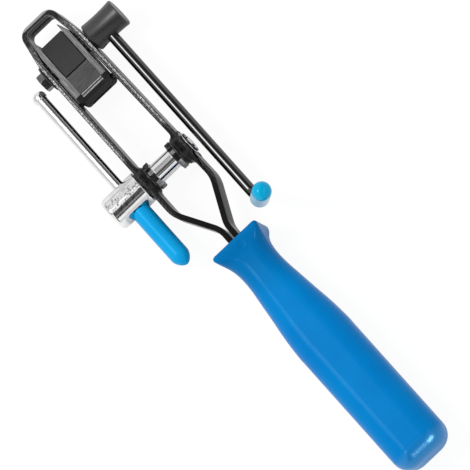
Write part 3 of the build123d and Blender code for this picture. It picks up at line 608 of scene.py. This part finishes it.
def turned(profile):
    """A closed shape turned about Y at the origin, from points of radius and place on Y."""
    shape = bmesh.new()
    corners = [shape.verts.new((radius, place, 0)) for radius, place in profile]
    outline = [shape.edges.new(pair) for pair in zip(corners, corners[1:])]
    bmesh.ops.spin(shape, geom=corners + outline, cent=(0, 0, 0), axis=(0, 1, 0), angle=math.tau,
                   steps=TURNED_STEPS, use_merge=True)
    bmesh.ops.remove_doubles(shape, verts=shape.verts, dist=TURNED_MERGE)
    bmesh.ops.recalc_face_normals(shape, faces=shape.faces)
    return shape


def bored(shape, cutters):
    """The shape with each cutter taken away from it."""
    objects = []
    for number, form in enumerate([shape] + cutters):
        mesh = bpy.data.meshes.new("work")
        form.to_mesh(mesh)
        form.free()
        objects.append(add_object("work_" + str(number), mesh))
    for cutter in objects[1:]:
        cut = objects[0].modifiers.new("cut", "BOOLEAN")
        cut.operation = "DIFFERENCE"
        cut.solver = "EXACT"
        cut.object = cutter
    bpy.context.view_layer.update()
    result = bmesh.new()
    seen = objects[0].evaluated_get(bpy.context.evaluated_depsgraph_get())
    result.from_mesh(seen.to_mesh())
    for item in objects:
        bpy.data.objects.remove(item)
    return result


ALONG_X = Matrix.Rotation(-math.pi / 2, 4, "Z")
CUT_PAST = 1.0 * MM
AT_END = 0.1 * MM


def turned_on_x(profile, centre_y):
    """A shape turned about X at a place on Y."""
    shape = turned(profile)
    bmesh.ops.transform(shape, matrix=Matrix.Translation((0, centre_y, 0)) @ ALONG_X, verts=shape.verts)
    return shape


HUB_END_ROUND = 1.8 * MM
HUB_END_SEGMENTS = 6
HUB_INNER_ROUND = 0.5 * MM
HUB_INNER_SEGMENTS = 3
HUB_SMOOTH_TO = 30.0
BAR_FIT = 0.05 * MM
BAR_MOUTH = 0.7 * MM
GRIP_SEAT_DEPTH = 2.55 * MM
GRIP_SEAT_GAP = 0.4 * MM
JOURNAL_RADIUS = 3.7 * MM


def add_hub():
    """The crank's hub, turned, with the bar's bore, its cone at the mouth and the seat for the grip."""
    low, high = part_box("hub")
    bar_low, bar_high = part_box("crank_bar")
    grip_low, grip_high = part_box("crank_grip")
    radius = (high.x - low.x) / 2
    bar_radius = (bar_high.z - bar_low.z) / 2
    bar_y = (bar_low.y + bar_high.y) / 2
    seat_radius = (grip_high.z - grip_low.z) / 2 + GRIP_SEAT_GAP
    bore_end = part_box("winding_shaft")[0].y
    shape = turned([(0, low.y), (radius, low.y), (radius, high.y), (0, high.y)])
    for place, width, segments in ((low.y, HUB_END_ROUND, HUB_END_SEGMENTS),
                                   (high.y, HUB_INNER_ROUND, HUB_INNER_SEGMENTS)):
        ring = [edge for edge in sharp_edges(shape)
                if all(abs(corner.co.y - place) < AT_END for corner in edge.verts)]
        round_edges(shape, ring, width, segments)
    reach = radius + CUT_PAST
    bar_bore = turned_on_x([(0, -reach), (bar_radius + BAR_FIT, -reach), (bar_radius + BAR_FIT, reach), (0, reach)],
                           bar_y)
    cone_depth = BAR_MOUTH + CUT_PAST
    cone = turned_on_x([(0, -reach), (bar_radius + cone_depth, -reach), (bar_radius, -reach + cone_depth),
                        (0, -reach + cone_depth)], bar_y)
    seat = turned_on_x([(0, radius - GRIP_SEAT_DEPTH), (seat_radius, radius - GRIP_SEAT_DEPTH),
                        (seat_radius, reach), (0, reach)], bar_y)
    shaft_bore = turned([(0, bore_end), (JOURNAL_RADIUS, bore_end), (JOURNAL_RADIUS, high.y + CUT_PAST),
                         (0, high.y + CUT_PAST)])
    shape = bored(shape, [bar_bore, cone, seat, shaft_bore])
    finish_piece("hub_turned", shape, ["hub", "hub_pin"], hub_chrome_painted_reflection, "winder",
                 smooth_to=HUB_SMOOTH_TO)


# Width of each node's rounded edge, in millimetres
edge_widths = {
    "frame": 0.45,
    "cheek_left": 0.3,
    "cheek_right": 0.3,
    "fixed_blade": 0.15,
    "bridge_block": 0.3,
    "cutter_jaw": 0.2,
    "cutter_nut": 0.2,
    "nut_washer": 0.2,
    "lever_washer": 0.15,
    "end_washer": 0.12,
    "ratchet_wheel_left": 0.12,
    "ratchet_wheel_right": 0.12,
    "bush_left": 0.15,
    "bush_right": 0.15,
}

for name, width in edge_widths.items():
    shape = copy_of(name)
    round_edges(shape, sharp_edges(shape), width * MM)
    material = finish_of(name)
    finish_piece(name + "_rounded", shape, [name], material, body_of(name))

add_hub()
for name, material in (("crank_bar", bar_chrome), ("crank_button", bar_chrome), ("winding_shaft", shaft_chrome)):
    frame["nodes"][name].material_slots[0].material = material


# Floor, light and camera

# The camera: the middle of the picture, the way to it, how far it stands, and how the tool lies across the picture
AIM = Vector((0.0456, 0.0024, 0.0))
TO_CAMERA = Vector((0.284, 0.1045, 0.953)).normalized()
CAMERA_WAY = 8.0
ALONG_SHARE = 0.6665
ACROSS_SHARE = 0.7455
PIXEL = 0.4451 * MM
PICTURE_PIXELS = 470
SENSOR = 36.0

# The floor's gap under the tool, its half size, its white, and how much of its own glow is seen
FLOOR_GAP = 0.4 * MM
FLOOR_HALF = 12.0
FLOOR_WHITE = (0.8, 0.8, 0.8, 1.0)
FLOOR_GLOW = 1.05
GLOW_SHARE = 0.88
GLOW_IN_GLOSS = 0.35


def add_camera():
    """Adds the photograph's camera and gives the way to its picture's right."""
    along = (Vector((1, 0, 0)) - TO_CAMERA.x * TO_CAMERA).normalized()
    across = TO_CAMERA.cross(along)
    right = ALONG_SHARE * along + ACROSS_SHARE * across
    up = ALONG_SHARE * across - ACROSS_SHARE * along
    turn = Matrix((right, up, TO_CAMERA)).transposed().to_4x4()
    data = bpy.data.cameras.new("camera")
    data.lens = SENSOR * CAMERA_WAY / (PIXEL * PICTURE_PIXELS)
    data.sensor_width = SENSOR
    data.clip_start = 0.5
    data.clip_end = 120
    made = add_object("camera", data)
    made.matrix_world = Matrix.Translation(AIM + TO_CAMERA * CAMERA_WAY) @ turn
    bpy.context.scene.camera = made
    return right


def add_floor(height):
    """A white floor that takes the tool's shadow, and is seen through from below."""
    shape = bmesh.new()
    bmesh.ops.create_grid(shape, x_segments=1, y_segments=1, size=FLOOR_HALF)
    bmesh.ops.translate(shape, verts=shape.verts, vec=(0, 0, height))
    mesh = bpy.data.meshes.new("floor")
    shape.to_mesh(mesh)
    shape.free()
    made = bpy.data.materials.new("floor_white")
    tree = empty_tree(made)
    matt = put(tree, "ShaderNodeBsdfDiffuse", {"Color": FLOOR_WHITE})
    glow = put(tree, "ShaderNodeEmission", {"Color": (1, 1, 1, 1), "Strength": FLOOR_GLOW})
    clear = put(tree, "ShaderNodeBsdfTransparent")
    ray = put(tree, "ShaderNodeLightPath").outputs
    seen = sum_of(tree, "MAXIMUM", ray["Is Camera Ray"], ray["Is Transmission Ray"])
    seen = sum_of(tree, "MULTIPLY_ADD", ray["Is Glossy Ray"], GLOW_IN_GLOSS, seen)
    share = sum_of(tree, "MULTIPLY", seen, GLOW_SHARE)
    top = put(tree, "ShaderNodeMixShader", {0: share, 1: matt.outputs[0], 2: glow.outputs[0]})
    under = put(tree, "ShaderNodeNewGeometry").outputs["Backfacing"]
    whole = put(tree, "ShaderNodeMixShader", {0: under, 1: top.outputs[0], 2: clear.outputs[0]})
    put(tree, "ShaderNodeOutputMaterial", {"Surface": whole.outputs[0]})
    mesh.materials.append(made)
    add_object("floor", mesh)


# Brightness of the studio in gloss, from the picture's left to its right: place, brightness
GLOSS_STEPS = [
    (-0.72, 0.66),
    (-0.68, 1.0),
    (-0.64, 0.80),
    (-0.30, 0.84),
    (-0.06, 1.0),
    (0.0, 0.10),
    (0.24, 0.07),
    (0.29, 0.32),
    (0.34, 0.26),
    (0.37, 0.01),
    (0.41, 0.02),
    (0.45, 1.0),
    (0.50, 1.0),
    (0.54, 0.66),
]
# Heights between which the gloss of the sky near the floor fades in, its brightness, and the level of light on it all
LOW_SKY = (0.30, 0.05)
LOW_SKY_LEVEL = 0.72
MATT_LEVEL = 0.74


def add_studio(right):
    """The world: white behind the object, an even level of light on it, and in its gloss a bright wall on the
    picture's left, a dark ceiling over the camera and a pale wall on the right."""
    world = bpy.data.worlds.new("studio")
    tree = empty_tree(world)
    way = put(tree, "ShaderNodeTexCoord").outputs["Generated"]
    side = put(tree, "ShaderNodeVectorMath", {0: way, 1: Vector((right.x, right.y, 0)).normalized()},
               operation="DOT_PRODUCT").outputs["Value"]
    height = parts_of(tree, way)[2]
    level_at = put(tree, "ShaderNodeValToRGB", {"Fac": ramp_of(tree, side, -1.0, 1.0, smooth=False)})
    stops = level_at.color_ramp.elements
    for number, (place, bright) in enumerate(GLOSS_STEPS):
        stop = stops[number] if number < 2 else stops.new(1.0)
        stop.position = (place + 1) / 2
        stop.color = (bright, bright, bright, 1)
    low = ramp_of(tree, height, *LOW_SKY)
    gloss = sum_of(tree, "MAXIMUM", level_at.outputs[0], sum_of(tree, "MULTIPLY", low, LOW_SKY_LEVEL))
    ray = put(tree, "ShaderNodeLightPath").outputs
    seen = sum_of(tree, "MAXIMUM", ray["Is Camera Ray"], ray["Is Transmission Ray"])
    level = sum_of(tree, "ADD", sum_of(tree, "MULTIPLY", ray["Is Glossy Ray"], gloss),
                   sum_of(tree, "MULTIPLY", ray["Is Diffuse Ray"], MATT_LEVEL))
    level = sum_of(tree, "MAXIMUM", level, seen)
    back = put(tree, "ShaderNodeBackground", {"Color": (1, 1, 1, 1), "Strength": level})
    put(tree, "ShaderNodeOutputWorld", {"Surface": back.outputs[0]})
    bpy.context.scene.world = world


def add_lamp(name, way, distance, width, depth, power, in_gloss=True, in_matt=True, only=None):
    """A flat lamp that faces the tool, seen in its gloss, on its matt faces or both, or lighting one collection."""
    data = bpy.data.lights.new(name, "AREA")
    data.shape = "RECTANGLE"
    data.size = width
    data.size_y = depth
    data.energy = power
    made = add_object(name, data)
    made.visible_glossy = in_gloss
    made.visible_diffuse = in_matt
    if only:
        made.light_linking.receiver_collection = only
    way = Vector(way).normalized()
    turn = way.to_track_quat("Z", "Y").to_matrix().to_4x4()
    made.matrix_world = Matrix.Translation(AIM + way * distance) @ turn


picture_right = add_camera()
add_floor(cad_box[0][2] - FLOOR_GAP)
add_studio(picture_right)
add_lamp("key", (-0.45, -0.50, 0.74), 1.2, 0.5, 0.5, 3.4, in_gloss=False)
add_lamp("glint", (-0.284, -0.31, 0.908), 1.2, 0.3, 0.3, 3.2)
handle_only = bpy.data.collections.new("handle_only")
handle_only.objects.link(frame["nodes"]["handle"])
add_lamp("handle_front_glint", (0.21, -0.34, 0.92), 1.2, 0.12, 0.12, 1.0, in_matt=False, only=handle_only)
add_lamp("handle_butt_glint", (0.85, 0.22, 0.44), 1.0, 0.55, 0.3, 5.0, in_matt=False, only=handle_only)
bpy.context.scene.view_settings.view_transform = "Standard"
